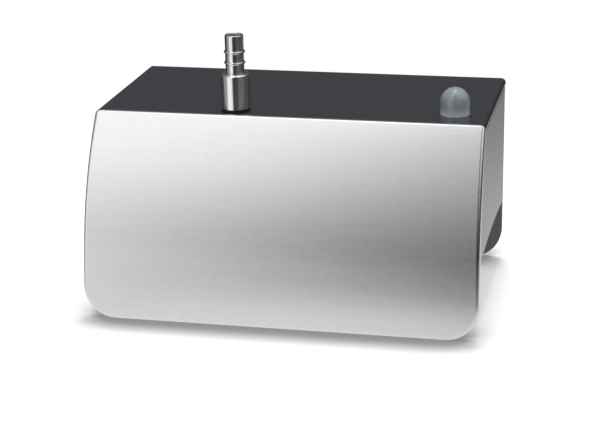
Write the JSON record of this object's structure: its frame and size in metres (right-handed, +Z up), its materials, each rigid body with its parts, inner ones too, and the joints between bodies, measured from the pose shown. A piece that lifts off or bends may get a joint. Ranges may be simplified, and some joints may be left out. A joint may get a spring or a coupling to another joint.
{
  "type": "airborne particle counter",
  "caption": "Flat sensor body behind a curved brushed-steel visor, with a hose barb and status dome on a dark top and a full-height rear plate.",
  "frame": {"origin": "centre of the footprint, on the surface that the visor's foot and the rear plate stand on", "axes": "+Z up, -Y out of the visor, +X to the right as seen from the front"},
  "size_m": [0.129, 0.0787, 0.0893],
  "materials": {
    "brushed_stainless": "fine horizontal brushing, satin",
    "brushed_housing": "fine brushed, satin",
    "dark_coating": "satin charcoal coating with a faint grain",
    "dark_plate": "matt charcoal coating",
    "dark_fastener": "black oxide",
    "zinc_fastener": "bright plated",
    "turned_stainless": "fine turned finish, bright",
    "black_foam": "closed-cell foam",
    "black_rubber": "matt",
    "frosted_dome": "frosted translucent",
    "clear_sleeve": "milky soft tube",
    "clear_lens": "polished",
    "black_anodised": "black anodised, matt",
    "black_plastic": "moulded, fine texture",
    "circuit_board": "green laminate",
    "brass": "turned",
    "gold_contact": "plated",
    "mirror_coat": "polished",
    "tinned_sheet": "tinned, satin"
  },
  "bodies": {
    "root": {"front_visor": "brushed_stainless", "visor_pad": "black_foam", "visor_nuts": "zinc_fastener", "housing": "brushed_housing", "top_cover": "dark_coating", "cover_gasket": "black_rubber", "cover_posts": "zinc_fastener", "floor_screws": "zinc_fastener", "rear_plate": "dark_plate", "plate_screws": "dark_fastener", "inlet_barb": "turned_stainless", "inlet_oring": "black_rubber", "vacuum_barb": "turned_stainless", "vacuum_oring": "black_rubber", "vacuum_nut": "zinc_fastener", "outlet_nozzle": "brass", "outlet_sleeve": "clear_sleeve", "status_dome": "frosted_dome", "dome_retainer": "black_plastic", "led_board": "circuit_board", "status_led": "clear_lens", "optics_block": "black_anodised", "optics_posts": "zinc_fastener", "laser_tube": "black_anodised", "laser_diode": "brass", "focus_lens": "clear_lens", "laser_board": "circuit_board", "beam_stop": "black_anodised", "collection_mirror": "mirror_coat", "photodiode": "black_plastic", "detector_board": "circuit_board", "detector_shield": "tinned_sheet", "main_board": "circuit_board", "board_standoffs": "brass", "board_screws": "zinc_fastener", "board_chips": "black_plastic", "board_capacitors": "tinned_sheet", "network_jack": "black_plastic", "service_jack": "black_plastic", "jack_contacts": "gold_contact"}
  },
  "joints": []
}
